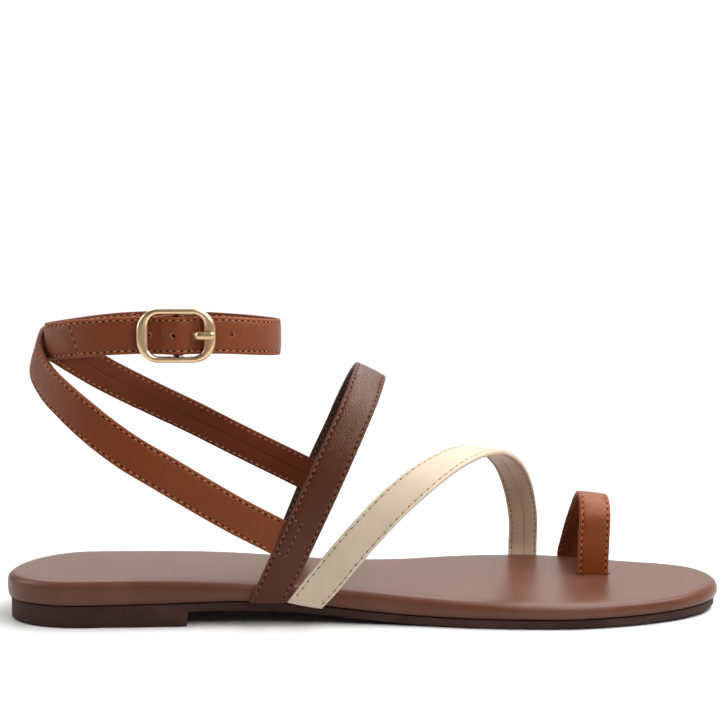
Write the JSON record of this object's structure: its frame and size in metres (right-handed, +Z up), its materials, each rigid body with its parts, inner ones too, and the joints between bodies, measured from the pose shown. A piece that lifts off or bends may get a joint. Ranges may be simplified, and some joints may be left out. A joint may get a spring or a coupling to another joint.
{
  "type": "ankle strap sandal",
  "caption": "Flat leather sandal with crossed straps, a big-toe loop and a heel sling that carries a buckled ankle strap, on a soft footbed and thin sole.",
  "frame": {"origin": "middle of the sandal's box, on the floor it stands on", "axes": "+X from heel to toe, +Y to the inner side of the foot, +Z up"},
  "size_m": [0.249, 0.0912, 0.1066],
  "materials": {
    "outsole_rubber": "satin moulded rubber",
    "footbed_leather": "soft grained leather",
    "instep_leather": "soft grained leather",
    "cream_leather": "smooth leather",
    "tan_leather": "smooth leather",
    "buckle_gold": "polished pale gold plating"
  },
  "bodies": {
    "root": {"outsole": "outsole_rubber", "footbed": "footbed_leather", "upper": "instep_leather", "forefoot_strap": "cream_leather", "toe_loop": "tan_leather", "ankle_strap": "tan_leather", "buckle_frame": "buckle_gold", "buckle_prong": "buckle_gold"}
  },
  "joints": []
}
